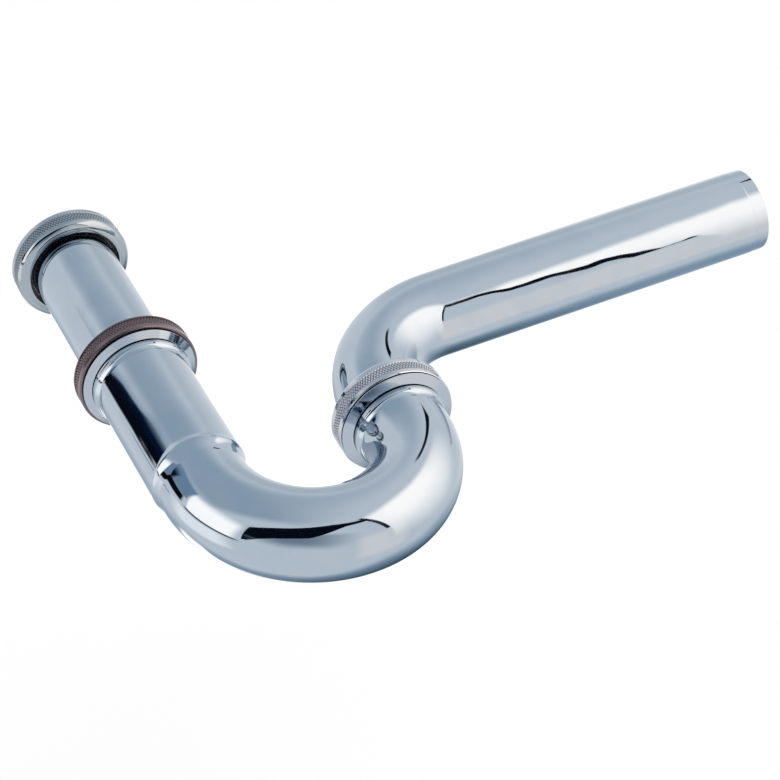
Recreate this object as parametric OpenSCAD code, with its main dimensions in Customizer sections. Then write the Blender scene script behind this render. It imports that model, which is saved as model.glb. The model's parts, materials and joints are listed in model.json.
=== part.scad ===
// Tubular basin trap of chromed brass: a sliding dip tube, a U bend that holds the water seal,
// and a swivelling elbow whose long tail runs into the wall. Millimetres, +Z up.
// The origin is the middle of the inlet nut's thread, where the basin waste screws in, and +X runs
// out along the tail.

/* [Tubes] */
// outside diameter of the dip tube and of the outlet elbow
tube_od = 32; // [28:0.1:40]
// wall of every tube
tube_wall = 1; // [0.7:0.05:1.3]
// how much wider than them the U bend's tube is, all round
bend_swell = 0.3; // [0:0.05:0.35]
// space all round the dip tube inside the widened leg
dip_clearance = 0.4; // [0.3:0.05:0.6]

/* [Dip tube] */
// length from the flange's top to the lower end
dip_length = 103; // [90:1:150]
// how far the dip tube stands inside the widened leg
dip_insertion = 34; // [20:1:52]
// how far the flanges on the dip tube and the elbow's spigot stand out
flange_reach = 3; // [2.4:0.1:3.2]
// thickness of the flanges
flange_thickness = 1.2; // [0.8:0.1:1.6]

/* [U bend] */
// distance between the two upright legs
leg_spacing = 76.2; // [66:0.2:100]
// height of the widened inlet leg above the bend
leg_height = 66; // [60:1:100]
// height of the short outlet leg above the bend
outlet_leg_height = 12; // [11.5:0.5:18]
// height of the cone where the bend opens into the widened leg
leg_cone = 6; // [3:0.5:10]
// angle that the bend is swung round the inlet, seen from above
bend_swing = 6.1; // [-20:0.1:20]

/* [Stop bead] */
// how far the bead stands out on the inner side
bead_height = 1.1; // [0.8:0.1:1.3]
// width of the bead
bead_width = 5; // [4:0.2:6]
// how much less it stands out on the outer side
bead_fade = 1; // [0:0.1:1.2]
// height of the bead above the bend
bead_level = 7.7; // [6:0.1:12]
// slope of the bead, rising towards the outlet
bead_tilt = 8.5; // [0:0.5:10]

/* [Outlet] */
// bend radius of the elbow along its middle line
elbow_radius = 37; // [34:0.5:60]
// length of the straight tail beyond the elbow
outlet_length = 134.7; // [60:0.1:300]

/* [Threads] */
// how far the crests of the inlet and slip threads stand outside the tube, to suit a one and a
// quarter inch pipe thread
union_reach = 4.955; // [4.7:0.005:6]
// rise of those threads in one turn
union_pitch = 2.309; // [1.5:0.001:2.4]
// how far the crests of the outlet union thread stand outside the tube
outlet_reach = 4; // [3.8:0.1:5]
// rise of the outlet union thread in one turn
outlet_pitch = 1.5; // [1:0.1:2]
// space all round between a nut's thread and the collar inside it
thread_clearance = 0.1; // [0.05:0.01:0.15]

/* [Collars] */
// height of the neck that flares out under each collar
neck_height = 4.7; // [3:0.1:5]
// how far the neck flares out
neck_flare = 1.3; // [0.8:0.1:1.4]
// height of the bevelled flange at the foot of the inlet collar
collar_flange = 1.7; // [1.4:0.1:2.4]
// height of the bevelled flange at the foot of the outlet collar
outlet_collar_flange = 1.4; // [1.2:0.1:2]
// how far the inlet collar's flange stands outside its thread
collar_lip = 0.45; // [0.1:0.05:1]
// how far the outlet collar's flange stands outside its thread
outlet_collar_lip = 1.4; // [0.6:0.1:1.6]
// height of the inlet collar above its flange, with its thread
collar_thread = 5.3; // [4:0.1:8]
// height of the outlet collar above its flange, with its thread
outlet_collar_thread = 4.5; // [3.5:0.1:6]
// how far the inlet collar's rim stands above the leg's end, round the rubber ring
collar_rim = 2.5; // [1.5:0.1:3]
// wall of that rim at the thread's middle line
rim_wall = 1.3; // [1:0.1:1.5]

/* [Nuts] */
// how far the inlet nut's knurl stands outside its thread
inlet_nut_wall = 1; // [0.9:0.05:2]
// how far the slip nut's knurl stands outside its thread
slip_nut_wall = 1.55; // [1.2:0.05:3]
// how far the outlet nut's knurl stands outside its thread
outlet_nut_wall = 1.8; // [1.4:0.05:3]
// height of the inlet nut above the washer
inlet_thread_height = 4.3; // [3.5:0.1:12]
// thickness of the inward shoulder of the inlet and slip nuts
nut_shoulder = 1.6; // [1.2:0.1:2.4]
// thickness of the outlet nut's inward shoulder
outlet_nut_shoulder = 2; // [1.4:0.1:2.6]
// height of the inlet and slip nuts' rounded edge
nut_round = 2.8; // [2:0.1:3.2]
// height of the outlet nut's rounded edge
outlet_nut_round = 2; // [1.4:0.1:2.4]
// width of the flat lip round the hole of the inlet and slip nuts
nut_lip = 0.7; // [0.4:0.1:1.4]
// width of the flat lip round the hole of the outlet nut
outlet_nut_lip = 1; // [0.4:0.1:1.4]
// space all round the dip tube in the slip nut's hole
slip_nut_clearance = 0.4; // [0.3:0.05:0.8]
// space all round the dip tube in the inlet nut's hole
inlet_nut_clearance = 1.6; // [1.2:0.1:1.8]
// space all round the elbow in the outlet nut's hole
outlet_nut_clearance = 1.3; // [1:0.1:1.6]
// gap between a nut's foot and the collar flange under it
foot_gap = 0.2; // [0.1:0.05:0.6]

/* [Knurl] */
// diamonds in each row round a nut
knurl_count = 96; // [60:4:112]
// height of a diamond above its grooves
knurl_depth = 0.32; // [0.2:0.02:0.4]
// height of one row of diamonds
knurl_row = 0.95; // [0.8:0.05:1.4]

/* [Seals] */
// thickness of the flat washer at the inlet
inlet_washer = 1.6; // [1:0.1:2.5]
// thickness of the flat washer at the outlet union
outlet_washer = 1.8; // [1:0.1:2.5]
// height of the rubber ring round the dip tube
seal_height = 3.4; // [3.1:0.1:5]
// thickness of the friction ring above the rubber ring
friction_ring = 1; // [0.6:0.1:1.6]
// thickness of the thin rings under the union nuts
thin_ring = 0.5; // [0.4:0.05:0.8]
// space all round a tube in the friction ring and the thin rings
ring_clearance = 0.35; // [0.2:0.05:0.6]
// gap at each flat seat between pieces that turn or slide past each other
seat_gap = 0.05; // [0.02:0.01:0.1]

/* [Hidden] */
$fn = 96;
chrome = "#c8ccd2";
rubber = "#2b2b2d";
nylon = "#e9e6dc";

// small bevels: on turned edges, on the nuts' feet, at the dip tube's end and at the tail's end
edge_break = 0.4;
foot_break = 0.3;
end_break = 0.4 * tube_wall;
tail_break = 0.2 * tube_wall;
// groove between a neck and its collar
groove_height = 0.3;
groove_depth = 0.5;
// upright edge of the collar flanges above their bevel
collar_edge = 0.35;
// relief where a thread runs out, and the cone at the inlet nut's mouth
thread_relief = 0.5;
// how far the relief in the inlet nut stays inside its crests
relief_inset = 0.3;
// how far the nuts' cores lie inside the knurl's grooves, and how far the knurl runs up the rounding
knurl_bed = 0.03;
knurl_lap = 0.2;
// space round the rubber ring in its rim, and how far the friction ring stays inside the thread
seal_fit = 0.1;
ring_inset = 0.6;
// how far a cut runs past the face that it opens
over = 1;

// thread depth as a share of the pitch, for the pipe thread and for the outlet's
pipe_depth = 0.64;
metric_depth = 0.65;

// radii of the tubes and flanges
tube_r = tube_od / 2;
tube_in = tube_r - tube_wall;
bend_r = tube_r + bend_swell;
bend_in = bend_r - tube_wall;
leg_in = tube_r + dip_clearance;
leg_r = leg_in + tube_wall;
flange_r = tube_r + flange_reach;
bend_radius = leg_spacing / 2;

// radii of the threads: crests, middle line and roots
union_r = tube_r + union_reach;
union_mid = union_r - pipe_depth * union_pitch / 2;
union_minor = union_r - pipe_depth * union_pitch;
outlet_r = tube_r + outlet_reach;
outlet_mid = outlet_r - metric_depth * outlet_pitch / 2;
collar_bore = union_mid - rim_wall;
seal_r = collar_bore - seal_fit;

// levels down the inlet
inlet_mouth = inlet_thread_height / 2;
washer_face = inlet_mouth - inlet_thread_height;
dip_top = washer_face - inlet_washer;
dip_end = dip_top - dip_length;
leg_top = dip_end + dip_insertion;
bend_level = leg_top - leg_height;
inlet_ring_top = dip_top - flange_thickness - seat_gap;
inlet_nut_seat = inlet_ring_top - thin_ring - seat_gap;
inlet_nut_foot = inlet_nut_seat - nut_shoulder;

// levels of the slip joint
rim_top = leg_top + collar_rim;
collar_foot = rim_top - collar_thread - collar_flange;
slip_nut_foot = collar_foot + collar_flange + foot_gap;
ring_seat = leg_top + seal_height + seat_gap;
slip_nut_seat = ring_seat + friction_ring + seat_gap;
slip_nut_top = slip_nut_seat + nut_shoulder;

// levels of the outlet union
outlet_top = bend_level + outlet_leg_height;
outlet_foot = outlet_top - outlet_collar_thread - outlet_collar_flange;
outlet_nut_foot = outlet_foot + outlet_collar_flange + foot_gap;
spigot_end = outlet_top + outlet_washer + seat_gap;
outlet_ring_seat = spigot_end + flange_thickness + seat_gap;
outlet_nut_seat = outlet_ring_seat + thin_ring + seat_gap;
outlet_nut_top = outlet_nut_seat + outlet_nut_shoulder;
elbow_level = outlet_nut_top;

// the outlet leg's place, square to the tail
module at_outlet() {
    translate([leg_spacing * cos(bend_swing), leg_spacing * sin(bend_swing), 0])
        children();
}

// a round cut between two levels
module bore(r, foot, top) {
    translate([0, 0, foot])
        cylinder(h = top - foot, r = r);
}

// a turned ring from its bore, outer radius, foot and top, with both outer edges broken
module ring(bore_r, outer, foot, top, bevel = 0) {
    rotate_extrude()
        polygon([[bore_r, foot], [outer - bevel, foot], [outer, foot + bevel], [outer, top - bevel],
            [outer - bevel, top], [bore_r, top]]);
}

// a tube bent round a quarter or half turn, from straight down at the origin
module bent_tube(outer, inner, radius, turn) {
    translate([radius, 0, 0])
        rotate([90, 0, 0])
            rotate([0, 0, 180])
                rotate_extrude(angle = turn)
                    translate([radius, 0])
                        difference() {
                            circle(r = outer);
                            circle(r = inner);
                        }
}

// a drum whose side is rows of four-sided diamonds, each row set half a step from the next
module knurl_drum(outer, foot, top) {
    rows = 2 * max(1, round((top - foot) / knurl_row / 2));
    rise = (top - foot) / rows;
    steps = 2 * round(knurl_count);
    side = [for (j = [0 : rows], i = [0 : steps - 1])
        let (peak = j > 0 && j < rows && (i + j) % 2 == 0, r = outer - (peak ? 0 : knurl_depth))
            [r * cos(360 * i / steps), r * sin(360 * i / steps), foot + j * rise]];
    faces = [for (j = [0 : rows - 1], i = [0 : steps - 1])
        let (a = j * steps + i, b = j * steps + (i + 1) % steps, c = a + steps, d = b + steps)
            each ((i + j) % 2 == 0 ? [[a, c, b], [b, c, d]] : [[a, d, b], [a, c, d]])];
    polyhedron(side, concat(faces, [[for (i = [0 : steps - 1]) i],
        [for (i = [0 : steps - 1]) rows * steps + steps - 1 - i]]), convexity = 4);
}

// quarter of an ellipse for a rounded edge, from the side to the end face
function rounded(outer, level, across, up) =
    [for (a = [0 : 10 : 90]) [outer - across + across * cos(a), level + up * sin(a)]];

// a nut's solid form: knurled up from its open foot, then rounded in to a flat lip at its top
module nut_blank(outer, foot, top, round_height, lip_r) {
    core = outer - knurl_depth - knurl_bed;
    round_foot = top - round_height;
    rotate_extrude()
        polygon(concat([[0, foot], [core - foot_break, foot], [core, foot + foot_break]],
            rounded(core, round_foot, core - lip_r, round_height), [[0, top]]));
    knurl_drum(outer, foot + foot_break / 2, round_foot + knurl_lap);
}

// a collar's side, from the neck's groove up over the bevelled flange and the thread to its top
function collar_side(neck_r, mid, lip_r, foot, flange, top) =
    [[neck_r + neck_flare, foot], [lip_r, foot + flange - collar_edge], [lip_r, foot + flange],
        [mid - thread_relief, foot + flange], [mid, foot + flange + thread_relief],
        [mid, top - edge_break], [mid - edge_break, top]];

// points of the hollow curve by which a neck leaves its tube, then of the groove under the collar
function neck(r, seat) =
    let (bow = (neck_height * neck_height + neck_flare * neck_flare) / (2 * neck_flare),
        sweep = asin(neck_height / bow), foot = seat - groove_height - neck_height)
    concat([for (k = [0 : 6]) let (a = sweep * k / 6) [r + bow - bow * cos(a), foot + bow * sin(a)]],
        [[r + neck_flare - groove_depth, seat], [r, seat]]);

module inlet_nut() {
    hole = tube_r + inlet_nut_clearance;
    color(chrome)
    difference() {
        mirror([0, 0, 1])
            nut_blank(union_r + inlet_nut_wall, -inlet_mouth, -inlet_nut_foot, nut_round, hole + nut_lip);
        bore(hole, inlet_nut_foot - over, inlet_nut_seat + over);
        bore(union_r - relief_inset, inlet_nut_seat, washer_face);
        bore(union_minor, washer_face - seat_gap, inlet_mouth + over);
        translate([0, 0, inlet_mouth - thread_relief])
            cylinder(h = 2 * thread_relief, r1 = union_minor, r2 = union_minor + 2 * thread_relief);
    }
}

module inlet_washer_ring() {
    color(rubber)
    ring(tube_in, flange_r, dip_top, washer_face);
}

module inlet_slip_ring() {
    color(chrome)
    ring(tube_r + ring_clearance, flange_r, inlet_ring_top - thin_ring, inlet_ring_top, thin_ring / 5);
}

module dip_tube() {
    color(chrome)
    rotate_extrude()
        polygon([[tube_in, dip_end + end_break], [tube_in + end_break, dip_end],
            [tube_r - end_break, dip_end], [tube_r, dip_end + end_break],
            [tube_r, dip_top - flange_thickness], [flange_r, dip_top - flange_thickness],
            [flange_r, dip_top], [tube_in, dip_top]]);
}

module slip_nut() {
    hole = tube_r + slip_nut_clearance;
    color(chrome)
    difference() {
        nut_blank(union_r + slip_nut_wall, slip_nut_foot, slip_nut_top, nut_round, hole + nut_lip);
        bore(union_mid + thread_clearance, slip_nut_foot - over, slip_nut_seat);
        bore(hole, slip_nut_seat - over, slip_nut_top + over);
    }
}

module slip_friction_ring() {
    color(nylon)
    ring(tube_r + ring_clearance, union_mid - ring_inset, ring_seat, ring_seat + friction_ring,
        friction_ring / 5);
}

module slip_seal() {
    color(rubber)
    translate([0, 0, leg_top])
        ring(tube_r + seat_gap, seal_r, seat_gap, seal_height, edge_break);
}

module inlet_collar() {
    color(chrome)
    rotate_extrude()
        polygon(concat([[leg_r, collar_foot]],
            collar_side(leg_r, union_mid, union_r + collar_lip, collar_foot, collar_flange, rim_top),
            [[collar_bore, rim_top], [collar_bore, leg_top], [leg_r, leg_top]]));
}

module trap_bend() {
    crest = leg_r + bead_height - bead_fade / 2;
    bead_r = (bead_width * bead_width / 4 + bead_height * bead_height) / (2 * bead_height);
    // a long neck under the outlet collar starts on the bend itself
    outlet_leg_low = min(0, outlet_foot - bend_level - groove_height - neck_height);
    color(chrome)
    translate([0, 0, bend_level])
        rotate([0, 0, bend_swing]) {
            difference() {
                union() {
                    rotate_extrude()
                        polygon(concat([[bend_in, 0], [bend_r, 0], [leg_r, leg_cone]],
                            neck(leg_r, collar_foot - bend_level),
                            [[leg_r, leg_height], [leg_in, leg_height], [leg_in, leg_cone]]));
                    difference() {
                        stop_bead(crest, bead_r, bead_r);
                        bore(leg_r - tube_wall / 2, 0, bead_level + bead_width + leg_cone);
                    }
                }
                stop_bead(crest, bead_r, bead_r - tube_wall);
            }
            bent_tube(bend_r, bend_in, bend_radius, 180);
            translate([leg_spacing, 0, 0])
                rotate_extrude()
                    polygon(concat([[bend_in, outlet_leg_low], [bend_r, outlet_leg_low]],
                        neck(bend_r, outlet_foot - bend_level),
                        [[bend_r, outlet_leg_height], [bend_in, outlet_leg_height]]));
        }
}

// the ring whose rounded side is the stop bead, tilted and set off towards the outlet
module stop_bead(crest, bead_r, r) {
    translate([bead_fade / 2, 0, bead_level])
        rotate([0, -bead_tilt, 0])
            rotate_extrude()
                translate([crest - bead_r, 0])
                    circle(r = r);
}

module outlet_collar() {
    color(chrome)
    at_outlet()
        rotate_extrude()
            polygon(concat([[bend_r, outlet_foot]],
                collar_side(bend_r, outlet_mid, outlet_r + outlet_collar_lip, outlet_foot,
                    outlet_collar_flange, outlet_top),
                [[bend_r, outlet_top]]));
}

module outlet_washer_ring() {
    color(rubber)
    at_outlet()
        ring(tube_in, flange_r, outlet_top, outlet_top + outlet_washer);
}

module outlet_slip_ring() {
    color(chrome)
    at_outlet()
        ring(tube_r + ring_clearance, flange_r, outlet_ring_seat, outlet_ring_seat + thin_ring,
            thin_ring / 5);
}

module outlet_nut() {
    hole = tube_r + outlet_nut_clearance;
    color(chrome)
    at_outlet()
        difference() {
            nut_blank(outlet_r + outlet_nut_wall, outlet_nut_foot, outlet_nut_top, outlet_nut_round,
                hole + outlet_nut_lip);
            bore(outlet_mid + thread_clearance, outlet_nut_foot - over, outlet_nut_seat);
            bore(hole, outlet_nut_seat - over, outlet_nut_top + over);
        }
}

module outlet_elbow() {
    spigot = spigot_end - elbow_level;
    color(chrome)
    at_outlet()
        translate([0, 0, elbow_level]) {
            rotate_extrude()
                polygon([[tube_in, spigot], [flange_r, spigot], [flange_r, spigot + flange_thickness],
                    [tube_r, spigot + flange_thickness], [tube_r, 0], [tube_in, 0]]);
            mirror([0, 0, 1])
                bent_tube(tube_r, tube_in, elbow_radius, 90);
            translate([elbow_radius, 0, elbow_radius])
                rotate([0, 90, 0])
                    rotate_extrude()
                        polygon([[tube_in, 0], [tube_r, 0], [tube_r, outlet_length - tail_break],
                            [tube_r - tail_break, outlet_length], [tube_in + tail_break, outlet_length],
                            [tube_in, outlet_length - tail_break]]);
        }
}

inlet_nut();
inlet_washer_ring();
inlet_slip_ring();
dip_tube();
slip_nut();
slip_friction_ring();
slip_seal();
inlet_collar();
trap_bend();
outlet_collar();
outlet_washer_ring();
outlet_slip_ring();
outlet_nut();
outlet_elbow();
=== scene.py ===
import json
import math

import bpy
import numpy as np
from mathutils import Matrix, Vector


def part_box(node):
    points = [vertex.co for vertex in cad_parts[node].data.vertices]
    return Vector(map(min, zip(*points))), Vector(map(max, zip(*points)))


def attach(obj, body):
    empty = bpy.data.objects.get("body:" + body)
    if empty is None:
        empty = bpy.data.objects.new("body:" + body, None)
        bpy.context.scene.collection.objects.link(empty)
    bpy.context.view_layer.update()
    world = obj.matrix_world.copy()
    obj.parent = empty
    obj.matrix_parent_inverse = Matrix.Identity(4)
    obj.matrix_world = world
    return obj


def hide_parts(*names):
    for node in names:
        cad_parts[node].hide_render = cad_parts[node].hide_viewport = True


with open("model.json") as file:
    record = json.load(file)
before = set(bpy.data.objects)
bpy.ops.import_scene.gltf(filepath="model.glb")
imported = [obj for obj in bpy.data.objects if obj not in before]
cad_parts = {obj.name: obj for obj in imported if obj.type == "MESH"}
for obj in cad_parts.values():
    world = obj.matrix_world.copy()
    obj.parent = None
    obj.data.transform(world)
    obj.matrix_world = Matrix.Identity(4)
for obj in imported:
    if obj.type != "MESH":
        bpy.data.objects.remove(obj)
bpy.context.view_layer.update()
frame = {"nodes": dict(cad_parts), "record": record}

mm = 0.001
print("frame loaded:", len(frame["nodes"]), "nodes")


# lowest and highest point of a CAD node and its reach across, in mm
def levels(node):
    low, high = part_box(node)
    return low.z / mm, high.z / mm, (high.x - low.x) / 2 / mm


mounts = {m["name"]: m["dims"] for m in frame["record"]["mounts"]}
tubeR = mounts["outlet_tail"]["r_mm"]
washerLow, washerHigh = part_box("outlet_washer_ring")
outletX = (washerLow.x + washerHigh.x) / 2 / mm
outletY = (washerLow.y + washerHigh.y) / 2 / mm
bendRadius = math.hypot(outletX, outletY) / 2
bendSwing = math.atan2(outletY, outletX)
wall = 1.0  # of every tube

# paths: distance along -> middle, outward and sideways directions


def upright(x, y):
    def path(s):
        return np.array([x, y, s]), np.array([1.0, 0, 0]), np.array([0, 1.0, 0])
    return path


# straight from start, then round a bend of that radius and turn, then straight on
def bentPath(start, straight, radius, turn, outward):
    start = np.array(start, float)
    outward = np.array(outward, float)
    ahead = np.array([0, 0, 1.0 if start[2] < straight else -1.0])
    side = np.cross(ahead, outward)
    first = abs(straight - start[2])
    pivot = start + ahead * first - outward * radius

    def path(s):
        if s <= first:
            return start + ahead * s, outward, side
        angle = min((s - first) / radius, turn)
        out = outward * math.cos(angle) + ahead * math.sin(angle)
        go = ahead * math.cos(angle) - outward * math.sin(angle)
        rest = max(0.0, s - first - radius * turn)
        return pivot + out * radius + go * rest, out, side
    return path, first, radius * turn


# corners of a closed outline as (along, radius, fillet)
def roundCorners(corners, steps=5):
    points = []
    for i, (s, r, fillet) in enumerate(corners):
        here = np.array([s, r])
        toLast = np.array(corners[i - 1][:2]) - here
        toNext = np.array(corners[(i + 1) % len(corners)][:2]) - here
        lastLength = np.hypot(*toLast)
        nextLength = np.hypot(*toNext)
        a = toLast / lastLength
        b = toNext / nextLength
        half = math.acos(np.clip(a @ b, -1, 1)) / 2
        if fillet <= 0 or half > 1.55:  # sharp, or no corner at all
            points.append(here)
            continue
        back = min(fillet / math.tan(half), 0.48 * lastLength, 0.48 * nextLength)
        middle = (a + b) / np.linalg.norm(a + b) * (back / math.cos(half))
        start = a * back - middle
        end = b * back - middle
        turn = math.pi - 2 * half
        for k in range(steps + 1):
            t = k / steps
            arm = (start * math.sin((1 - t) * turn) + end * math.sin(t * turn)) / math.sin(turn)
            points.append(here + middle + arm)
    return np.array(points)


# adds points to the outline inside each span (from, to, step); a fourth number limits it to that radius
def refine(points, spans):
    result = []
    for i in range(len(points)):
        here, after = points[i], points[(i + 1) % len(points)]
        run = after[0] - here[0]
        parts = {0.0}
        for low, high, step, *level in spans:
            if abs(run) < 1e-6 or (level and max(abs(here[1] - level[0]), abs(after[1] - level[0])) > 0.01):
                continue
            ends = sorted(np.clip((np.array([low, high]) - here[0]) / run, 0, 1))
            count = max(1, math.ceil((ends[1] - ends[0]) * abs(run) / step))
            if ends[1] > ends[0]:
                parts |= set(np.round(np.linspace(ends[0], ends[1], count + 1), 7))
        result += [here + (after - here) * t for t in sorted(parts) if t < 1 - 1e-6]
    return np.array(result)


# a closed outline (along, radius) carried round a path, with relief(along, radius, angle) added
def sweep(name, outline, path, segments, relief=None, groove=None):
    angle = np.linspace(0, 2 * math.pi, segments, endpoint=False)
    along, radius = outline[:, :1], outline[:, 1:]
    extra = relief(along, radius, angle[None, :]) if relief else np.zeros((len(outline), segments))
    places = [path(s) for s in outline[:, 0]]
    middle, out, side = (np.array([p[k] for p in places])[:, None, :] for k in range(3))
    radial = np.cos(angle)[None, :, None] * out + np.sin(angle)[None, :, None] * side
    grid = (middle + (radius + extra)[..., None] * radial) * mm
    rows, columns = grid.shape[:2]
    lengthwise = np.roll(grid, -1, 0) - np.roll(grid, 1, 0)
    around = np.roll(grid, -1, 1) - np.roll(grid, 1, 1)
    normals = np.cross(around, lengthwise)
    normals /= np.linalg.norm(normals, axis=2, keepdims=True) + 1e-12
    a = np.arange(rows * columns).reshape(rows, columns)
    b, d = np.roll(a, -1, 1), np.roll(a, -1, 0)
    quads = np.stack([a, b, np.roll(b, -1, 0), d], 2).reshape(-1, 4)
    flat = grid.reshape(-1, 3)
    corner = flat[quads]
    facing = np.cross(corner[:, 1], corner[:, 2]) + np.cross(corner[:, 2], corner[:, 3])
    if np.sum(corner[:, 0] * facing) < 0:  # the faces look inward
        quads = quads[:, ::-1]
        normals = -normals
    mesh = bpy.data.meshes.new(name)
    mesh.from_pydata(flat.tolist(), [], quads.tolist())
    mesh.polygons.foreach_set("use_smooth", [True] * len(quads))
    marks = {"inside": np.sum(normals * radial, 2) < -0.4}  # walls that face the axis
    if groove:
        marks["groove"] = groove(along, radius, extra)
    for label, values in marks.items():
        layer = mesh.attributes.new(label, "FLOAT", "POINT")
        layer.data.foreach_set("value", values.ravel().astype(np.float32))
    mesh.validate()
    mesh.normals_split_custom_set_from_vertices(normals.reshape(-1, 3).tolist())
    piece = bpy.data.objects.new(name, mesh)
    bpy.context.scene.collection.objects.link(piece)
    return piece


def finish(piece, body, slot, material, *nodes):
    piece.data.materials.append(material)
    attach(piece, body)
    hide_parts(*nodes)
    return piece


def smoothStep(low, high, x):
    t = np.clip((x - low) / (high - low), 0, 1)
    return t * t * (3 - 2 * t)


# 0 at every whole number and 1 half way between them
def wave(x):
    return 1 - np.abs((x % 1.0) * 2 - 1)


# finishes

def newGroup(name, inputs, outputs):
    group = bpy.data.node_groups.new(name, "ShaderNodeTree")
    for label, kind, value in inputs:
        socket = group.interface.new_socket(label, in_out="INPUT", socket_type="NodeSocket" + kind)
        socket.default_value = value
    for label, kind in outputs:
        group.interface.new_socket(label, in_out="OUTPUT", socket_type="NodeSocket" + kind)
    return group, group.nodes.new("NodeGroupInput").outputs, group.nodes.new("NodeGroupOutput").inputs


# adds a node; inputs are plain values or the sockets that they are linked to
def add(tree, kind, inputs=(), **settings):
    node = tree.nodes.new("ShaderNode" + kind)
    for key, value in settings.items():
        setattr(node, key, value)
    for key, value in dict(inputs).items():
        if isinstance(value, bpy.types.NodeSocket):
            tree.links.new(value, node.inputs[key])
        else:
            node.inputs[key].default_value = value
    return node


def calc(tree, operation, *values):
    return add(tree, "Math", dict(enumerate(values)), operation=operation).outputs[0]


def spread(tree, value, low, high, newLow=0.0, newHigh=1.0):
    ends = {"From Min": low, "From Max": high, "To Min": newLow, "To Max": newHigh}
    return add(tree, "MapRange", {"Value": value, **ends}, interpolation_type="SMOOTHSTEP").outputs[0]


def blendColor(tree, share, first, second):
    node = add(tree, "Mix", {"Factor": share}, data_type="RGBA")
    for key, value in ((6, first), (7, second)):
        if isinstance(value, bpy.types.NodeSocket):
            tree.links.new(value, node.inputs[key])
        else:
            node.inputs[key].default_value = (*value, 1)
    return node.outputs[2]


def noise(tree, place, scale, detail, roughness):
    node = add(tree, "TexNoise", {"Vector": place, "Scale": scale, "Detail": detail, "Roughness": roughness})
    return node.outputs[0]


def darker(color, share):
    return tuple(share * c for c in color)


# place on the piece in mm, which moves with the piece
def placeInMm(tree):
    where = add(tree, "TexCoord").outputs["Object"]
    return add(tree, "VectorMath", {0: where, "Scale": 1 / mm}, operation="SCALE").outputs[0]


# what polishing leaves: long soft waves, a thin film from handling and fine hairlines
def polishGroup():
    group, given, result = newGroup("polishedPlating", [
        ("Wave Size", "Float", 24.0), ("Film Size", "Float", 11.0),
        ("Clean", "Float", 0.03), ("Filmed", "Float", 0.08)],
        [("Height", "Float"), ("Roughness", "Float"), ("Film", "Float")])
    place = placeInMm(group)
    waves = noise(group, place, calc(group, "DIVIDE", 1.0, given["Wave Size"]), 1.0, 0.4)
    patches = noise(group, place, calc(group, "DIVIDE", 1.0, given["Film Size"]), 4.0, 0.6)
    film = spread(group, patches, 0.38, 0.72)
    lines = add(group, "Mapping", {"Vector": place, "Rotation": (0.4, 0.7, 0.2), "Scale": (0.05, 3.0, 3.0)})
    hairlines = spread(group, noise(group, lines.outputs[0], 1.0, 3.0, 0.7), 0.62, 0.78)
    duller = calc(group, "SUBTRACT", given["Filmed"], given["Clean"])
    filmed = calc(group, "MULTIPLY_ADD", duller, film, given["Clean"])
    group.links.new(calc(group, "MULTIPLY_ADD", hairlines, 0.02, filmed), result["Roughness"])
    group.links.new(waves, result["Height"])
    group.links.new(film, result["Film"])
    return group


# rings left by the lathe, on faces, cones and cylinders alike
def turnedGroup():
    group, given, result = newGroup("turnedRings", [
        ("Centre X", "Float", 0.0), ("Centre Y", "Float", 0.0), ("Pitch", "Float", 0.16)],
        [("Height", "Float"), ("Rings", "Float")])
    place = placeInMm(group)
    axis = add(group, "SeparateXYZ", {0: place})
    x = calc(group, "SUBTRACT", axis.outputs[0], given["Centre X"])
    y = calc(group, "SUBTRACT", axis.outputs[1], given["Centre Y"])
    across = add(group, "CombineXYZ", {0: x, 1: y}).outputs[0]
    reach = add(group, "VectorMath", {0: across}, operation="LENGTH").outputs["Value"]
    along = calc(group, "ADD", reach, axis.outputs[2])
    turns = add(group, "CombineXYZ", {0: calc(group, "DIVIDE", along, given["Pitch"])}).outputs[0]
    rings = noise(group, turns, 1.0, 3.0, 0.7)
    group.links.new(rings, result["Height"])
    group.links.new(spread(group, rings, 0.35, 0.7), result["Rings"])
    return group


# painted shade, partly grime: darker and duller grooves between the polished points of a knurl
def knurlGroup():
    group, given, result = newGroup("knurlShade", [
        ("Point Color", "Color", (0.6, 0.64, 0.68, 1)), ("Groove Color", "Color", (0.2, 0.22, 0.25, 1)),
        ("Point Roughness", "Float", 0.1), ("Groove Roughness", "Float", 0.3)],
        [("Color", "Color"), ("Roughness", "Float")])
    height = add(group, "Attribute", attribute_name="groove").outputs["Fac"]
    point = spread(group, height, 0.1, 0.7)
    group.links.new(blendColor(group, point, given["Groove Color"], given["Point Color"]), result["Color"])
    dull = add(group, "Mix", {"Factor": point, 2: given["Groove Roughness"], 3: given["Point Roughness"]})
    group.links.new(dull.outputs[0], result["Roughness"])
    return group


# painted shade: the black line in the gap between two pieces, where shade falls
def gapGroup():
    group, given, result = newGroup(
        "gapShade", [("Color", "Color", (0.5, 0.5, 0.5, 1))], [("Color", "Color")])
    mark = add(group, "Attribute", attribute_name="groove").outputs["Fac"]
    gap = spread(group, mark, -0.1, -0.9)
    group.links.new(blendColor(group, gap, given["Color"], (0.006, 0.009, 0.016)), result["Color"])
    return group


# speckle and fine pores of moulded rubber and nylon
def mouldedGroup():
    group, given, result = newGroup("mouldedGrain", [
        ("Grain Size", "Float", 0.35), ("Smooth", "Float", 0.4), ("Rough", "Float", 0.6)],
        [("Height", "Float"), ("Roughness", "Float"), ("Speckle", "Float")])
    place = placeInMm(group)
    grain = noise(group, place, calc(group, "DIVIDE", 1.0, given["Grain Size"]), 3.0, 0.6)
    cloud = noise(group, place, 0.2, 3.0, 0.6)
    dull = add(group, "Mix", {"Factor": cloud, 2: given["Smooth"], 3: given["Rough"]}).outputs[0]
    group.links.new(grain, result["Height"])
    group.links.new(dull, result["Roughness"])
    group.links.new(spread(group, cloud, 0.35, 0.65), result["Speckle"])
    return group


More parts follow.
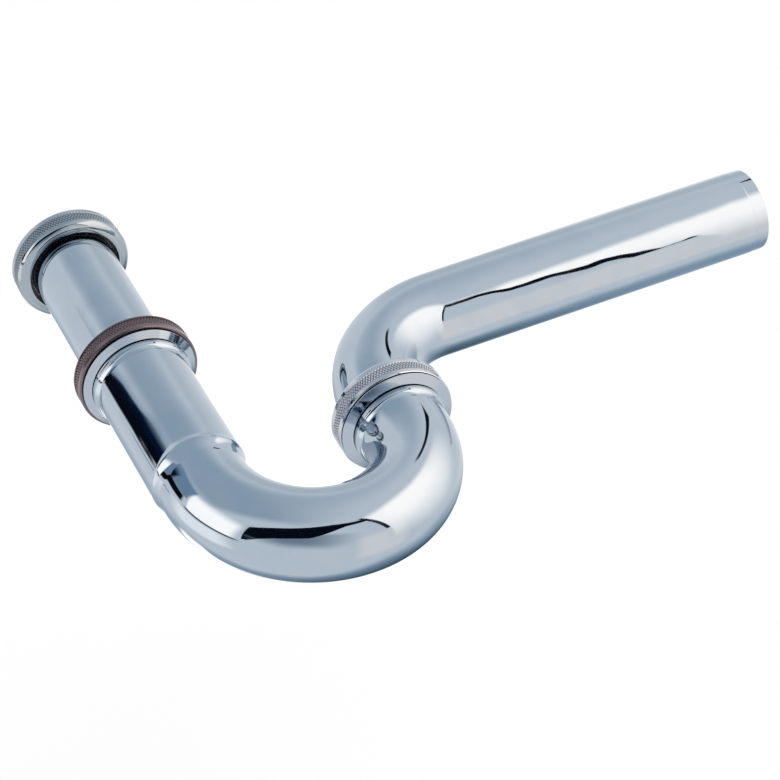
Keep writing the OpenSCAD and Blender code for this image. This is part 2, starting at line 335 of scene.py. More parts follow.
polish, turned, knurlShade, moulded = polishGroup(), turnedGroup(), knurlGroup(), mouldedGroup()
gapShade = gapGroup()


def newMaterial(name, metallic):
    material = bpy.data.materials.new(name)
    material.use_nodes = True
    tree = material.node_tree
    shader = tree.nodes["Principled BSDF"]
    shader.inputs["Metallic"].default_value = metallic
    return material, tree, shader


# puts a group in a tree; its input Wave Size is given as waveSize
def use(tree, group, **values):
    node = add(tree, "Group", node_tree=group)
    for label, value in values.items():
        spaced = "".join(" " + c if c.isupper() else c for c in label)
        node.inputs[spaced.title()].default_value = value
    return node.outputs


def bump(tree, shader, height, depth):
    node = add(tree, "Bump", {"Height": height, "Distance": depth * mm, "Strength": 1.0})
    tree.links.new(node.outputs[0], shader.inputs["Normal"])


def feed(tree, shader, color, roughness):
    if shader.inputs["Metallic"].default_value > 0.5:  # the metal pieces have the gaps
        color = add(tree, "Group", {"Color": color}, node_tree=gapShade).outputs[0]
    tree.links.new(color, shader.inputs["Base Color"])
    tree.links.new(roughness, shader.inputs["Roughness"])


chrome = {
    "color": (0.43, 0.50, 0.578),
    "filmColor": (0.405, 0.48, 0.563),  # where it was handled
    "waveSize": 26.0,  # of what the polishing left, mm
    "waveDepth": 0.416,
    "brass": (0.64, 0.49, 0.25),  # inside the tubes
    # painted shade: the brass rings are painted near black, as they sit in the nuts' shade
    "agedBrass": (0.05, 0.045, 0.045),
    "agedBrassFilm": (0.025, 0.024, 0.027),
}
# painted light and shade: the inlet nut's chrome is darker and the outlet nut's lighter than the tubes', and
# the grooves of all three are darker, partly grime and partly painted shade
nutColors = {  # points, grooves, and the roughness of both
    "inlet": ((0.38, 0.44, 0.495), (0.09, 0.115, 0.145), 0.06, 0.22),
    "outlet": ((0.58, 0.615, 0.675), (0.15, 0.165, 0.20), 0.05, 0.2),
    "slip": ((0.20, 0.155, 0.17), (0.10, 0.07, 0.08), 0.2, 0.35),
}


# chrome outside and bare brass inside, as such a tube is plated
def tubeFinish(name):
    material, tree, shader = newMaterial(name, 1.0)
    plating = use(tree, polish, waveSize=chrome["waveSize"], filmSize=14.0, clean=0.025, filmed=0.06)
    moulding = use(tree, moulded, grainSize=1.6, smooth=0.3, rough=0.5)
    inside = add(tree, "Attribute", attribute_name="inside").outputs["Fac"]
    outer = blendColor(tree, plating["Film"], chrome["color"], chrome["filmColor"])
    bare = blendColor(tree, moulding["Speckle"], chrome["brass"], darker(chrome["brass"], 0.7))
    dull = add(tree, "Mix", {"Factor": inside, 2: plating["Roughness"], 3: moulding["Roughness"]})
    feed(tree, shader, blendColor(tree, inside, outer, bare), dull.outputs[0])
    bump(tree, shader, plating["Height"], chrome["waveDepth"])
    return material


def collarFinish(name, centre):
    material, tree, shader = newMaterial(name, 1.0)
    plating = use(tree, polish, waveSize=9.0, filmSize=5.0, clean=0.04, filmed=0.12)
    rings = use(tree, turned, centreX=centre[0], centreY=centre[1], pitch=0.14)
    color = blendColor(tree, rings["Rings"], chrome["color"], darker(chrome["color"], 0.9))
    feed(tree, shader, color, plating["Roughness"])
    bump(tree, shader, rings["Height"], 0.004)
    return material


def nutFinish(name, centre, point, groove, pointRoughness, grooveRoughness):
    material, tree, shader = newMaterial(name, 1.0)
    shade = use(tree, knurlShade, pointRoughness=pointRoughness, grooveRoughness=grooveRoughness,
                pointColor=(*point, 1), grooveColor=(*groove, 1))
    rings = use(tree, turned, centreX=centre[0], centreY=centre[1], pitch=0.2)
    share = calc(tree, "MULTIPLY", rings["Rings"], 0.2)
    color = blendColor(tree, share, shade["Color"], darker(groove, 0.8))
    feed(tree, shader, color, shade["Roughness"])
    bump(tree, shader, rings["Height"], 0.006)
    return material


# the brass rings, painted near black as shade
def brassFinish(name):
    material, tree, shader = newMaterial(name, 1.0)
    plating = use(tree, polish, waveSize=8.0, filmSize=2.5, clean=0.28, filmed=0.5)
    color = blendColor(tree, plating["Film"], chrome["agedBrass"], chrome["agedBrassFilm"])
    feed(tree, shader, color, plating["Roughness"])
    bump(tree, shader, plating["Height"], 0.1)
    return material


def mouldedFinish(name, color, speckle, grain, smooth, rough, depth):
    material, tree, shader = newMaterial(name, 0.0)
    grainy = use(tree, moulded, grainSize=grain, smooth=smooth, rough=rough)
    feed(tree, shader, blendColor(tree, grainy["Speckle"], color, speckle), grainy["Roughness"])
    bump(tree, shader, grainy["Height"], depth)
    return material


tubeChrome = tubeFinish("tubeChrome")
inletCollarChrome = collarFinish("inletCollarChrome", (0, 0))
outletCollarChrome = collarFinish("outletCollarChrome", (outletX, outletY))
inletNutChrome = nutFinish("inletNutChrome", (0, 0), *nutColors["inlet"])
outletNutChrome = nutFinish("outletNutChrome", (outletX, outletY), *nutColors["outlet"])
slipNutChrome = nutFinish("slipNutChrome", (0, 0), *nutColors["slip"])
agedBrass = brassFinish("agedBrass")
blackRubber = mouldedFinish("blackRubber", (0.022, 0.022, 0.024), (0.038, 0.038, 0.04),
                            grain=0.35, smooth=0.45, rough=0.65, depth=0.02)
whiteNylon = mouldedFinish("whiteNylon", (0.80, 0.79, 0.74), (0.74, 0.73, 0.67),
                           grain=0.6, smooth=0.32, rough=0.5, depth=0.01)
print("finishes made")


# knurls and threads

knurl = {
    "diamonds": 118,  # in a row round the nut
    "height": 2.05,  # of one diamond, mm
    "depth": 0.32,
    "flatTop": 0.72,  # share of the height at which the points are cut off
    "samples": 8,  # of the mesh round one diamond
    "step": 0.2,  # between the mesh's rows
    "rise": 0.25,  # over which the knurl starts and ends
}
# gap: between the thread on a collar and the one in its nut
pipeThread = {"pitch": 2.309, "depth": 0.64 * 2.309, "gap": 0.1}
outletThread = {"pitch": 1.5, "depth": 0.65 * 1.5, "gap": 0.1}


def knurlRelief(outer, low, high):
    floor = outer - knurl["depth"]

    def relief(along, radius, angle):
        turns = angle / (2 * math.pi) * knurl["diamonds"]
        up = (along - low) / knurl["height"]
        points = np.minimum(wave(turns + up), wave(turns - up))
        points = np.minimum(points, knurl["flatTop"]) / knurl["flatTop"]
        start = smoothStep(low, low + knurl["rise"], along)
        cut = start * (1 - smoothStep(high - knurl["rise"], high, along))
        return np.where(np.abs(radius - floor) < 0.01, knurl["depth"] * (1 - cut + cut * points), 0.0)
    return relief


def threadRelief(thread, middle, low, high):
    def relief(along, radius, angle):
        rise = wave(along / thread["pitch"] - angle / (2 * math.pi))
        crest = (np.clip(rise, 0.08, 0.92) - 0.5) / 0.84 * thread["depth"]
        fade = smoothStep(low, low + 0.5, along) * (1 - smoothStep(high - 0.5, high, along))
        return np.where(np.abs(radius - middle) < 0.01, crest * fade, 0.0)
    return relief


def both(first, second):
    return lambda along, radius, angle: first(along, radius, angle) + second(along, radius, angle)


def upsideDown(relief):
    return lambda along, radius, angle: relief(-along, radius, -angle)


# dip tube

dipTube = {"flange": 1.2, "endRound": 0.35, "flangeRound": 0.25}
dipEnd, dipTop, flangeR = levels("dip_tube")
flangeFoot = dipTop - dipTube["flange"]
outline = roundCorners([
    (dipEnd, tubeR - wall, dipTube["endRound"]), (dipEnd, tubeR, dipTube["endRound"]),
    (flangeFoot, tubeR, 0.3), (flangeFoot, flangeR, dipTube["flangeRound"]),
    (dipTop, flangeR, dipTube["flangeRound"]), (dipTop, tubeR - wall, 0.3)])
piece = sweep("dipTubeShell", outline, upright(0, 0), 160)
finish(piece, "dip", "chrome", tubeChrome, "dip_tube")
print("dip tube made")

# collars

collar = {"edge": 0.35, "relief": 0.5, "break": 0.4, "round": 0.12, "footRound": 0.45}
inletCollar = {"flange": 1.7, "lip": 0.45, "rim": 1.3, "neckFlare": 1.3}
outletCollar = {"flange": 1.4, "lip": 1.4, "neckFlare": 1.3}
legR = tubeR + 0.4 + wall
bendR = tubeR + 0.3
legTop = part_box("trap_bend")[1].z / mm
collarFoot, rimTop, inletCollarR = levels("inlet_collar")
outletFoot, outletTop, outletCollarR = levels("outlet_collar")
unionMiddle = inletCollarR - inletCollar["lip"] - pipeThread["depth"] / 2
outletMiddle = outletCollarR - outletCollar["lip"] - outletThread["depth"] / 2


def collarSide(neckR, middle, lipR, foot, flange, top):
    return [(foot, neckR, collar["footRound"]), (foot + flange - collar["edge"], lipR, collar["round"]),
            (foot + flange, lipR, collar["round"]), (foot + flange, middle - collar["relief"], 0.1),
            (foot + flange + collar["relief"], middle, 0), (top - collar["break"], middle, 0),
            (top, middle - collar["break"], 0.1)]


# the groove between the flange's foot and the neck's lip lies in the dark
def collarGap(neckR, foot):
    def marks(along, radius, extra):
        inGroove = (radius < neckR - 0.35) & (along < foot + 0.3)
        return np.where(inGroove, -1.0, np.ones_like(extra))
    return marks


rimR = unionMiddle - inletCollar["rim"]
foot = collarFoot + inletCollar["flange"] + collar["relief"]
outline = roundCorners([(collarFoot, legR, 0)] + collarSide(
    legR + inletCollar["neckFlare"], unionMiddle, inletCollarR, collarFoot, inletCollar["flange"], rimTop)
    + [(rimTop, rimR, 0.15), (legTop, rimR, 0.1), (legTop, legR, 0)])
outline = refine(outline, [(foot, rimTop - collar["break"], pipeThread["pitch"] / 12)])
piece = sweep("inletCollarRing", outline, upright(0, 0), 192,
              threadRelief(pipeThread, unionMiddle, foot, rimTop - collar["break"]),
              collarGap(legR + inletCollar["neckFlare"], collarFoot))
finish(piece, "bend", "collar_chrome", inletCollarChrome, "inlet_collar")

foot = outletFoot + outletCollar["flange"] + collar["relief"]
outline = roundCorners([(outletFoot, bendR, 0)] + collarSide(
    bendR + outletCollar["neckFlare"], outletMiddle, outletCollarR, outletFoot, outletCollar["flange"],
    outletTop) + [(outletTop, bendR, 0)])
outline = refine(outline, [(foot, outletTop - collar["break"], outletThread["pitch"] / 12)])
piece = sweep("outletCollarRing", outline, upright(outletX, outletY), 192,
              threadRelief(outletThread, outletMiddle, foot, outletTop - collar["break"]),
              collarGap(bendR + outletCollar["neckFlare"], outletFoot))
finish(piece, "bend", "collar_chrome", outletCollarChrome, "outlet_collar")
print("collars made")

# U bend

bend = {
    "cone": 6.0, "neck": 5.0, "flare": 1.3, "grooveHeight": 0.75, "grooveDepth": 1.05,
    "lip": 1.75, "lipStep": 0.3,
    # the stop bead by degrees round the leg from its outer side: height, width and level above the bend
    "bead": {0: (0.1, 3, 5.5), 180: (0.15, 4.5, 6.4), 210: (0.25, 4, 6.0), 228: (0.45, 4, 5.6),
             246: (0.5, 5, 5.2), 262: (0.3, 7, 5.4), 280: (0.25, 8, 5.8), 300: (0.3, 8, 5.8),
             315: (0.5, 6, 5.4), 330: (0.5, 3.5, 5.2), 340: (0.2, 3, 5.2), 360: (0.1, 3, 5.5)},
    "beadUpper": 0.42,  # share of the width above the crest
}
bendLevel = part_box("trap_bend")[0].z / mm + bendRadius + bendR
path, inletLeg, halfTurn = bentPath((0, 0, legTop), bendLevel, bendRadius, math.pi,
                                    (-math.cos(bendSwing), -math.sin(bendSwing), 0))
pathEnd = inletLeg + halfTurn + outletTop - bendLevel


# the hollow curve from a tube to the groove under its collar, away = -1 or 1 along the path
def neckCurve(r, seat, away):
    lipFoot = bend["grooveHeight"] + bend["lip"]
    height = bend["neck"] - lipFoot
    flare = bend["flare"] - bend["lipStep"]
    bow = (height ** 2 + flare ** 2) / (2 * flare)
    turn = math.asin(height / bow) / 10
    points = [(bend["neck"] - bow * math.sin(turn * k), bow - bow * math.cos(turn * k), 0) for k in range(11)]
    points += [(lipFoot - 0.15, flare - 0.12, 0.05), (lipFoot - 0.4, bend["flare"] - 0.04, 0.12),
               (bend["grooveHeight"], bend["flare"], 0.2),
               (bend["grooveHeight"] - 0.1, bend["flare"] - bend["grooveDepth"], 0.1),
               (0.02, bend["flare"] - bend["grooveDepth"], 0), (0, 0, 0)]
    return [(seat + away * down, r + reach, fillet) for down, reach, fillet in points]


inletSeat = legTop - collarFoot
outletSeat = pathEnd - (outletTop - outletFoot)
outer = [(0, legR, 0.2)] + neckCurve(legR, inletSeat, 1)[::-1] + [
    (inletLeg - bend["cone"], legR, 8), (inletLeg, bendR, 8)]
outer += neckCurve(bendR, outletSeat, -1) + [(pathEnd, bendR, 0.2)]
inner = [(pathEnd, bendR - wall, 0.2), (inletLeg, bendR - wall, 8),
         (inletLeg - bend["cone"], legR - wall, 8), (0, legR - wall, 0.2)]
outline = refine(roundCorners(outer + inner), [(inletLeg - 11, inletLeg, 0.35),
                                               (inletLeg, inletLeg + halfTurn, 1.1)])


# the stop bead: a soft swelling, broad in front and sharper at both ends of that part
def beadRelief(along, radius, angle):
    turns = np.array(list(bend["bead"]))
    where = np.degrees(angle) % 360
    height, width, level = (np.interp(where, turns, values) for values in zip(*bend["bead"].values()))
    off = inletLeg - along - level
    off = off / width / np.where(off > 0, bend["beadUpper"], 1 - bend["beadUpper"])
    return height * np.cos(math.pi / 2 * np.clip(off, -1, 1)) ** 2


# the groove under each collar and the thin line under its lip lie in the dark
def neckGap(along, radius, extra):
    marks = np.ones_like(extra)
    lipFoot = bend["grooveHeight"] + bend["lip"]
    for seat, away, r in ((inletSeat, 1, legR), (outletSeat, -1, bendR)):
        down = (along - seat) * away
        line = np.abs(down - lipFoot + 0.15) < 0.02
        inGroove = (np.abs(down) < bend["grooveHeight"]) & (radius < r + bend["flare"] - 0.5)
        marks = np.where((radius > r) & (line | inGroove), -1.0, marks)
    return marks


piece = sweep("trapBendTube", outline, path, 160, beadRelief, neckGap)
finish(piece, "bend", "chrome", tubeChrome, "trap_bend")
print("U bend made")

# elbow

# the tail's last sized mm are drawn in, sizedBy off the radius at the end
elbow = {"flange": 1.2, "endRound": 0.25, "sized": 5.5, "sizedBy": 0.22}
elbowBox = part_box("outlet_elbow")
spigotEnd = elbowBox[0].z / mm
elbowLevel = levels("outlet_nut")[1]
elbowRadius = elbowBox[1].z / mm - tubeR - elbowLevel
path, spigot, quarter = bentPath((outletX, outletY, spigotEnd), elbowLevel, elbowRadius, math.pi / 2,
                                 (-1, 0, 0))
tail = elbowBox[1].x / mm - outletX - elbowRadius
tailEnd = spigot + quarter + tail
sizedFrom = tailEnd - elbow["sized"]
outline = roundCorners([
    (0, tubeR - wall, 0.3), (0, flangeR, 0.25),
    (elbow["flange"], flangeR, 0.25), (elbow["flange"], tubeR, 0.3),
    (sizedFrom, tubeR, 0.3), (sizedFrom + 0.3, tubeR - elbow["sizedBy"] / 2, 0.2),
    (tailEnd, tubeR - elbow["sizedBy"], elbow["endRound"]), (tailEnd, tubeR - wall, elbow["endRound"])])
outline = refine(outline, [(spigot, spigot + quarter, 1.0), (spigot + quarter, tailEnd, 12)])
piece = sweep("elbowTube", outline, path, 160)
finish(piece, "elbow", "chrome", tubeChrome, "outlet_elbow")
print("elbow made")

# nuts

nut = {"footBreak": 0.3, "footGap": 0.3, "footBevel": 0.45, "roundSteps": 13}  # of all three
nutSegments = knurl["diamonds"] * knurl["samples"]


# open foot at the thread's end; with a relief (level, radius) the nut stands upside down
def knurledNut(name, centre, foot, top, outer, sizes, threadR, thread, relief=None):
    hole = tubeR + sizes["clearance"]
    seat = top - sizes["shoulder"]
    knurlLow = foot + sizes["rim"]
    knurlHigh = knurlLow + sizes["band"]
    core = outer - knurl["depth"]
    foot += 0 if relief else nut["footGap"]
    roundFoot = top - sizes["roundHeight"]
    lipR = hole + sizes["lip"]
    rounding = []
    for i, a in enumerate(np.linspace(0, math.pi / 2, nut["roundSteps"] + 1)):
        step = knurl["depth"] * (1 - i / nut["roundSteps"]) ** 2  # the knurl's height, faded out
        rounding.append((roundFoot + sizes["roundHeight"] * math.sin(a),
                         lipR + (core - lipR) * math.cos(a) + step, 0))
    outside = [(foot + nut["footBevel"], threadR, 0.1), (foot, threadR + nut["footBevel"], 0.1),
               (foot, outer - nut["footBreak"], 0.15), (foot + nut["footBreak"], outer, 0.15),
               (knurlLow, outer, 0), (knurlLow + 0.001, core, 0),
               (knurlHigh, core, 0), (knurlHigh + 0.001, outer, 0)]
    inside = [(top, hole, 0.2), (seat, hole, 0.15)]
    if relief:
        inside += [(seat, relief[1], 0.15), (relief[0], relief[1], 0.15), (relief[0], threadR, 0.1)]
    else:
        inside.append((seat, threadR, 0.15))
    threadLow = foot + nut["footBevel"]
    threadHigh = (relief[0] if relief else seat) - 0.3
    outline = refine(roundCorners(outside + rounding + inside, 2), [
        (knurlLow, knurlHigh, knurl["step"], core), (threadLow, threadHigh, thread["pitch"] / 8, threadR)])
    shape = both(knurlRelief(outer, knurlLow, knurlHigh),
                 threadRelief(thread, threadR, threadLow, threadHigh))
    if relief:
        shape = upsideDown(shape)
        outline = outline * np.array([-1, 1])

    def depth(along, radius, extra):
        worked = np.where(np.abs(radius - core) < 0.01, extra / knurl["depth"], 1.0)
        level = -along if relief else along
        # painted shade: the nut's mouth, its foot face and the bore next to it, is painted black
        mouth = (level < foot + 0.5) & (radius < outer - 0.5)
        return np.where(mouth, -1.0, worked)
    return sweep(name, outline, upright(*centre), nutSegments, shape, depth)


slipNut = {"clearance": 0.4, "shoulder": 1.6, "roundHeight": 2.8, "lip": 0.7, "rim": 2.2, "band": 4.45}
low, high, reach = levels("slip_nut")
piece = knurledNut("slipNutRing", (0, 0), low, high, reach, slipNut,
                   unionMiddle + pipeThread["gap"], pipeThread)
finish(piece, "slip_union", "nut_chrome", slipNutChrome, "slip_nut")

outletNut = {"clearance": 1.3, "shoulder": 2.0, "roundHeight": 2.0, "lip": 1.0, "rim": 2.1, "band": 4.3}
low, high, reach = levels("outlet_nut")
piece = knurledNut("outletNutRing", (outletX, outletY), low, high, reach, outletNut,
                   outletMiddle + outletThread["gap"], outletThread)
finish(piece, "outlet_union", "nut_chrome", outletNutChrome, "outlet_nut")

inletNut = {"clearance": 1.6, "shoulder": 1.6, "roundHeight": 2.8, "lip": 0.7, "rim": 2.0, "band": 4.65,
            "reliefInset": 0.3}
low, high, reach = levels("inlet_nut")
reliefR = unionMiddle + pipeThread["depth"] / 2 - inletNut["reliefInset"]
piece = knurledNut("inletNutRing", (0, 0), -high, -low, reach, inletNut, unionMiddle, pipeThread,
                   (-levels("inlet_washer_ring")[1], reliefR))
finish(piece, "inlet_union", "nut_chrome", inletNutChrome, "inlet_nut")
print("nuts made")

# rings and seals

ringSizes = {  # node: piece, body, bore, edge, record slot, finish
    "inlet_washer_ring": ("inletWasher", "dip", tubeR - wall, 0.25, "black_rubber", blackRubber),
    "inlet_slip_ring": ("inletSlipRing", "inlet_ring", tubeR + 0.35, 0.1, "brass", agedBrass),
    "slip_seal": ("slipSeal", "seal", tubeR + 0.05, 0.4, "black_rubber", blackRubber),
    "slip_friction_ring": ("slipFrictionRing", "slip_ring", tubeR + 0.35, 0.2, "nylon", whiteNylon),
    "outlet_washer_ring": ("outletWasher", "bend", tubeR - wall, 0.25, "black_rubber", blackRubber),
    "outlet_slip_ring": ("outletSlipRing", "outlet_ring", tubeR + 0.35, 0.1, "brass", agedBrass),
}
for node, (name, body, bore, edge, slot, material) in ringSizes.items():
    low, high, reach = levels(node)
    centre = (outletX, outletY) if node.startswith("outlet") else (0, 0)
    outline = roundCorners([(low, bore, edge / 2), (low, reach, edge),
                            (high, reach, edge), (high, bore, edge / 2)])
    piece = sweep(name, outline, upright(*centre), 128)
    finish(piece, body, slot, material, node)
print("rings and seals made")

# camera, as the photograph was taken

camera = {
    "place": (-187.06, -611.94, -754.79),
    "aim": (83.39, 14.50, -108.24),
    "roll": -35.40,
    "lens": 119.31,
}
eye = bpy.data.objects.new("photoCamera", bpy.data.cameras.new("photoCamera"))
bpy.context.scene.collection.objects.link(eye)
eye.data.sensor_width = 36
eye.data.lens = camera["lens"]
eye.data.clip_start, eye.data.clip_end = 0.05, 20
view = Vector(camera["aim"]) - Vector(camera["place"])
turn = view.to_track_quat("-Z", "Y").to_matrix() @ Matrix.Rotation(math.radians(camera["roll"]), 3, "Z")
eye.matrix_world = Matrix.Translation(Vector(camera["place"]) * mm) @ turn.to_4x4()
bpy.context.scene.camera = eye

# studio: the trap lies with its bend flat on the table, so up is square to the bend

up = Vector((math.sin(bendSwing), -math.cos(bendSwing), 0))
away = (view - up * view.dot(up)).normalized()
right = away.cross(up)
middle = Vector(camera["aim"]) * mm
bendFoot = middle + (right * 4 - away * 89 + up * 16) * mm  # the cards are placed round it
floor = {"drop": 0.24, "size": 3.2, "fadeFrom": 0.75, "fadeTo": 1.5, "shadow": 0.16, "grey": 0.9}
studioLight = {"world": 0.75, "lamp": 22, "lampSize": 1.1, "lampAt": (75, 58), "lampAway": 1.9}
daylight = (1.0, 0.878, 0.784)  # the plate turns it white
black = (0.004, 0.006, 0.012)
# what the chrome mirrors: direction round from the lens and up, and size, both in degrees, distance in m,
# where it faces if not at the bend, colour, strength, and the share that fades at its left, right, low
# and high edge
cards = {
    "ceiling": {"at": (309.3, 40.3), "size": (81.4, 84.8), "away": 0.931, "faces": (0, 90),
                "color": (0.53, 0.62, 0.69), "fade": (0.45, 0.3, 0.5, 0.14)},
    "tableShade": {"at": (15.9, -56.5), "size": (66, 80), "away": 0.264, "faces": (0, -90),
                   "color": (0.06, 0.11, 0.155), "fade": (0.45,) * 4},
    # painted shadow: the blue-grey low panel stands for the table's shade under the trap
    "lowPanel": {"at": (15, -68), "size": (110, 80), "away": 3.1,
                 "color": (0.38, 0.5, 0.6), "fade": (0.35,) * 4},
    "rightSoftbox": {"at": (70.6, 13.8), "size": (79.5, 83), "away": 0.7665, "faces": (80.5, 25),
                     "roll": -15.1, "color": (1.0, 0.869, 0.755), "level": 2.17,
                     "fade": (0.5, 0.01, 0.76, 0.14)},
    "softboxRim": {"at": (119.0, 40.5), "size": (3.6, 40.8), "away": 0.9, "faces": (80.5, 25), "roll": -15.1,
                   "color": black, "fade": (0.01,) * 4},
    "leftWindow": {"at": (243, 16), "size": (43, 46), "away": 2.7,
                   "color": daylight, "level": 2.15, "fade": (0.2, 0.06, 0.08, 0.42)},
    # painted shadow: a soft dim card round the flag's lower edge stands for the flag's shadow
    "flagGlow": {"at": (182, 24), "size": (88, 46), "away": 2.9,
                 "color": (0.30, 0.37, 0.43), "fade": (0.5, 0.45, 0.5, 0.2)},
    "backWall": {"at": (357, 12), "size": (46, 44), "away": 2.95,
                 "color": (0.78, 0.82, 0.84), "fade": (0.35, 0.35, 0.3, 0.4)},
    "windowSill": {"at": (243, -7.6), "size": (46, 4.0), "away": 2.65,
                   "color": (0.05, 0.08, 0.12), "fade": (0.15, 0.1, 0.25, 0.25)},
    "leftFloor": {"at": (254, -24), "size": (56, 30), "away": 2.9,
                  "color": (1.0, 0.94, 0.89), "level": 1.59, "fade": (0.3, 0.3, 0.3, 0.15)},
    "rightFloor": {"at": (124, -6), "size": (44, 62), "away": 2.9,
                   "color": (1.0, 0.917, 0.838), "level": 1.25, "fade": (0.25,) * 4},
    "lowWindow": {"at": (350, -29), "size": (22, 38), "away": 2.7,
                  "color": daylight, "level": 2.15, "fade": (0.3,) * 4},
    "lowStrip": {"at": (322, -58), "size": (46, 14), "away": 2.75,
                 "color": daylight, "level": 2.15, "fade": (0.3,) * 4},
    "blueDoor": {"at": (282.5, 21), "size": (33, 27), "away": 0.53, "faces": (286, 0),
                 "color": (0.28, 0.404, 0.537), "fade": (0.08, 0.3, 0.03, 0.25)},
    "darkDoor": {"at": (288.6, 15), "size": (11.2, 24), "away": 0.51, "faces": (286, 0),
                 "color": (0.002, 0.011, 0.036), "fade": (0.2, 0.12, 0.02, 0.6)},
    "blackDoor": {"at": (280.8, 2.3), "size": (27, 13.4), "away": 0.49, "faces": (286, 0),
                  "color": black, "fade": (0.1, 0.01, 0.12, 0.3)},
    "doorFoot": {"at": (290.9, -5.0), "size": (7.2, 11.4), "away": 0.485, "faces": (286, 0),
                 "color": black, "fade": (0.2, 0.01, 0.3, 0.05)},
    "sill": {"at": (286, -13.2), "size": (14, 1.5), "away": 0.48, "faces": (286, 0),
             "color": (0.15, 0.20, 0.28), "fade": (0.2, 0.2, 0.3, 0.3)},
    "pole": {"at": (16, 36), "size": (5.2, 22), "away": 1.0, "faces": (16, 0),
             "color": (0.004, 0.006, 0.014), "fade": (0.2, 0.2, 0.1, 0.12)},
}
# the long dark flag over the table, by its corners' directions
flag = {"away": 2.47, "faces": (175, 42), "corners": [
    (113, 54), (132, 57.5), (150, 60.5), (173, 58), (195, 52), (209, 44), (220, 34), (220, 0), (216, 3),
    (209, 14), (199, 24), (186, 30), (173, 33), (164, 40), (152, 47), (140, 51.5), (128, 51.5), (113, 50)]}


# the unit vector in a direction, and the two square to it, to its right and upward
def toward(azimuth, elevation):
    a, e = math.radians(azimuth), math.radians(elevation)
    level = away * math.cos(a) + right * math.sin(a)
    across = right * math.cos(a) - away * math.sin(a)
    return level * math.cos(e) + up * math.sin(e), across, up * math.cos(e) - level * math.sin(e)


def stagePiece(name, points, material, matrix=None, onlyMirrored=True):
    mesh = bpy.data.meshes.new(name)
    mesh.from_pydata(points, [], [list(range(len(points)))])
    mesh.materials.append(material)
    piece = bpy.data.objects.new(name, mesh)
    bpy.context.scene.collection.objects.link(piece)
    if matrix:
        piece.matrix_world = matrix
    if onlyMirrored:  # a card is for the reflections alone
        piece.visible_camera = piece.visible_diffuse = False
        piece.visible_shadow = piece.visible_transmission = False
    return piece


def emptyMaterial(name):
    material = bpy.data.materials.new(name)
    material.use_nodes = True
    tree = material.node_tree
    tree.nodes.remove(tree.nodes["Principled BSDF"])
    return material, tree, tree.nodes["Material Output"].inputs["Surface"]


# how strong a card is over its face: full in the middle, fading to nothing at its edges
def cardGroup():
    group, given, result = newGroup("softCard", [
        (side, "Float", 0.3) for side in ("Left", "Right", "Low", "High")], [("Strength", "Float")])
    across = add(group, "SeparateXYZ", {0: add(group, "TexCoord").outputs["Generated"]})
    share = None
    for axis, near, far in ((0, "Left", "Right"), (1, "Low", "High")):
        place = across.outputs[axis]
        left = spread(group, place, 0.0, given[near])
        rest = spread(group, calc(group, "SUBTRACT", 1.0, place), 0.0, given[far])
        edge = calc(group, "MULTIPLY", left, rest)
        share = calc(group, "MULTIPLY", share, edge) if share else edge
    group.links.new(share, result["Strength"])
    return group


softCard = cardGroup()
for name, card in cards.items():
    ray = toward(*card["at"])[0]
    facing, across, upward = toward(*card.get("faces", card["at"]))
    halfWide, halfHigh = (card["away"] * math.tan(math.radians(d) / 2) for d in card["size"])
    material, tree, surface = emptyMaterial(name)
    strength = use(tree, softCard, **dict(zip(("left", "right", "low", "high"), card["fade"])))["Strength"]
    light = add(tree, "Emission", {"Color": (*card["color"], 1), "Strength": card.get("level", 1.0)})
    clear = add(tree, "BsdfTransparent")
    mixed = add(tree, "MixShader", {0: strength, 1: clear.outputs[0], 2: light.outputs[0]})
    tree.links.new(mixed.outputs[0], surface)
    roll = Matrix.Rotation(math.radians(card.get("roll", 0)), 3, facing)
    matrix = Matrix((roll @ across, roll @ upward, -facing)).transposed().to_4x4()
    matrix.translation = bendFoot + ray * card["away"]
    corners = [(x * halfWide, y * halfHigh, 0) for x, y in ((-1, -1), (1, -1), (1, 1), (-1, 1))]
    stagePiece(name, corners, material, matrix)

material, tree, surface = emptyMaterial("blackFlag")
dark = add(tree, "Emission", {"Color": (*black, 1), "Strength": 1.0})
tree.links.new(dark.outputs[0], surface)
facing = toward(*flag["faces"])[0]
points = []
for azimuth, elevation in flag["corners"]:
    ray = toward(azimuth, elevation)[0]
    points.append(bendFoot + ray * flag["away"] / ray.dot(facing))
stagePiece("blackFlag", points, material)


# 1 where the lens, metal or glass looks, 0 for the light that falls on things
def looking(tree):
    rays = add(tree, "LightPath").outputs
    lens = calc(tree, "MAXIMUM", rays["Is Camera Ray"], rays["Is Glossy Ray"])
    return calc(tree, "MAXIMUM", lens, rays["Is Transmission Ray"])


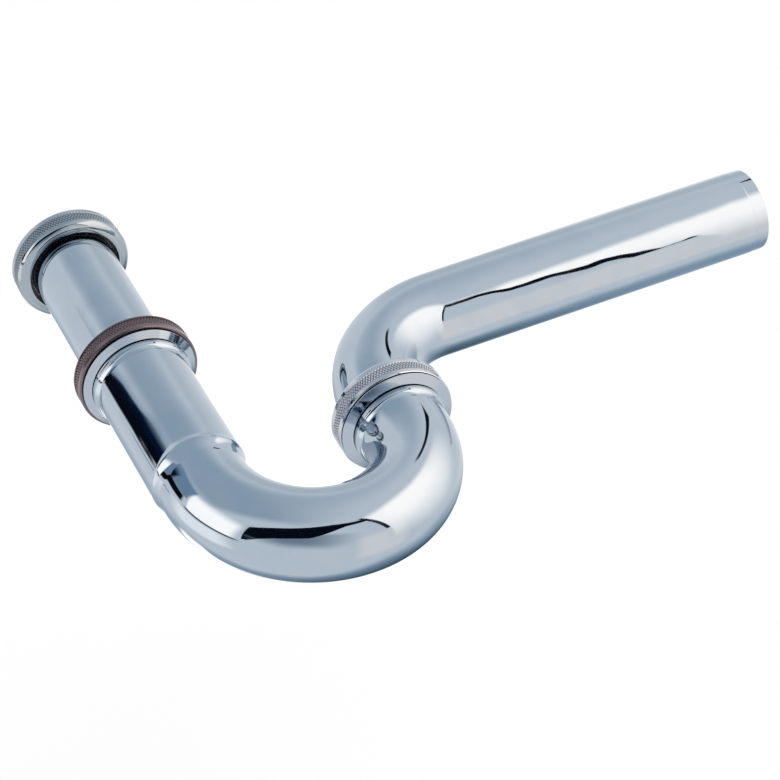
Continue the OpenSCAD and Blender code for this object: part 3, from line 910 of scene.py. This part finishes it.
# the table: white to the lens and in the metal, with the trap's shadow, and clear from behind
material, tree, surface = emptyMaterial("paleTable")
matte = add(tree, "BsdfDiffuse", {"Color": (floor["grey"], floor["grey"], floor["grey"], 1)})
white = add(tree, "Emission", {"Color": (1, 1, 1, 1), "Strength": 1.0})
whiteShare = calc(tree, "MULTIPLY", looking(tree), 1 - floor["shadow"])
top = add(tree, "MixShader", {0: whiteShare, 1: matte.outputs[0], 2: white.outputs[0]})
spot = add(tree, "TexCoord").outputs["Object"]
reach = add(tree, "VectorMath", {0: spot}, operation="LENGTH").outputs["Value"]
fade = spread(tree, reach, floor["fadeFrom"], floor["fadeTo"])
clear = calc(tree, "MAXIMUM", fade, add(tree, "NewGeometry").outputs["Backfacing"])
mixed = add(tree, "MixShader", {0: clear, 1: top.outputs[0], 2: add(tree, "BsdfTransparent").outputs[0]})
tree.links.new(mixed.outputs[0], surface)
matrix = Matrix((right, away, up)).transposed().to_4x4()
matrix.translation = middle - up * (middle.dot(up) + floor["drop"])
half = floor["size"] / 2
table = stagePiece("paleTable", [(-half, -half, 0), (half, -half, 0), (half, half, 0), (-half, half, 0)],
                   material, matrix, onlyMirrored=False)
table.visible_glossy = False  # the metal sees the same white from the world, with the cards before it
print("stage made")

lamp = bpy.data.lights.new("softLamp", "AREA")
lamp.energy = studioLight["lamp"]
lamp.size = studioLight["lampSize"]
lampPiece = bpy.data.objects.new("softLamp", lamp)
bpy.context.scene.collection.objects.link(lampPiece)
ray, across, upward = toward(*studioLight["lampAt"])
matrix = Matrix((across, upward, ray)).transposed().to_4x4()
matrix.translation = middle + ray * studioLight["lampAway"]
lampPiece.matrix_world = matrix
lampPiece.visible_glossy = False

world = bpy.data.worlds.new("studio")
world.use_nodes = True
bpy.context.scene.world = world
tree = world.node_tree
sky = tree.nodes["Background"]
sky.inputs["Color"].default_value = (1, 1, 1, 1)
tree.links.new(spread(tree, looking(tree), 0, 1, studioLight["world"], 1.0), sky.inputs["Strength"])
bpy.context.scene.view_settings.view_transform = "Standard"
print("light made")
